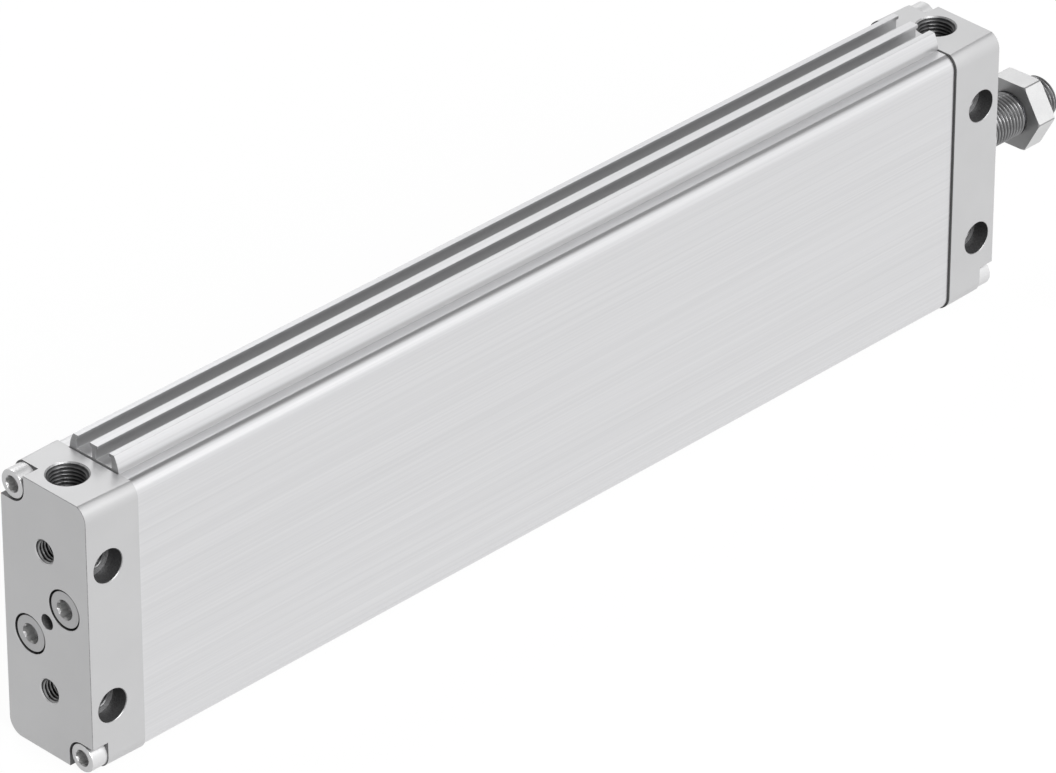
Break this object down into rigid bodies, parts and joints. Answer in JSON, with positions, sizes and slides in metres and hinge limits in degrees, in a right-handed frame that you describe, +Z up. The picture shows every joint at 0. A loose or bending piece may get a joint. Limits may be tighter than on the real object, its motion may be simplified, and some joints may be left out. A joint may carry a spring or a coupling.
{
  "type": "flat pneumatic cylinder",
  "caption": "Flat double-acting air cylinder with an oval piston, an extruded barrel with sensor slots, screwed end caps, top air ports and a threaded rod end with a nut.",
  "frame": {"origin": "middle of the rear cap's outer face, on the rod axis, midway between its two threaded holes", "axes": "+X along the rod out of the bearing cap, +Z up to the air ports and sensor slots, Y across the flat body"},
  "size_m": [0.4547, 0.039, 0.1039],
  "materials": {
    "barrel_aluminium": "anodised, fine drawn lines",
    "cap_aluminium": "anodised, blasted satin",
    "plug_aluminium": "machined",
    "screw_steel": "zinc plated",
    "nut_steel": "zinc plated",
    "rod_chrome": "ground and hard chromed",
    "bush_bronze": "turned bronze",
    "seal_rubber": "matt",
    "cushion_rubber": "matt",
    "magnet_plastic": "matt, ferrite filled",
    "band_plastic": "matt"
  },
  "bodies": {
    "housing": {"rear_cap": "cap_aluminium", "bearing_cap": "cap_aluminium", "barrel": "barrel_aluminium", "front_gasket": "seal_rubber", "rear_corner_screws": "screw_steel", "front_corner_screws": "screw_steel", "middle_screws": "screw_steel", "rear_plug": "plug_aluminium", "rear_plug_seal": "seal_rubber", "rod_bush": "bush_bronze", "rod_seal": "seal_rubber", "rod_wiper": "seal_rubber"},
    "rod": {"piston_rod": "rod_chrome", "piston_rear_half": "plug_aluminium", "piston_front_half": "plug_aluminium", "rod_stud_seal": "seal_rubber", "rear_piston_seal": "seal_rubber", "front_piston_seal": "seal_rubber", "piston_magnet": "magnet_plastic", "piston_guide_band": "band_plastic", "piston_screw": "screw_steel", "rear_cushions": "cushion_rubber", "front_cushions": "cushion_rubber"},
    "nut": {"rod_nut": "nut_steel"}
  },
  "joints": [
    {"name": "rod_slide", "type": "slide", "parent": "housing", "child": "rod", "axis": [1, 0, 0], "range_m": [0, 0.32]},
    {"name": "nut_turn", "type": "hinge", "parent": "rod", "child": "nut", "pos_m": [0.442, 0, 0], "axis": [1, 0, 0], "continuous": true}
  ]
}
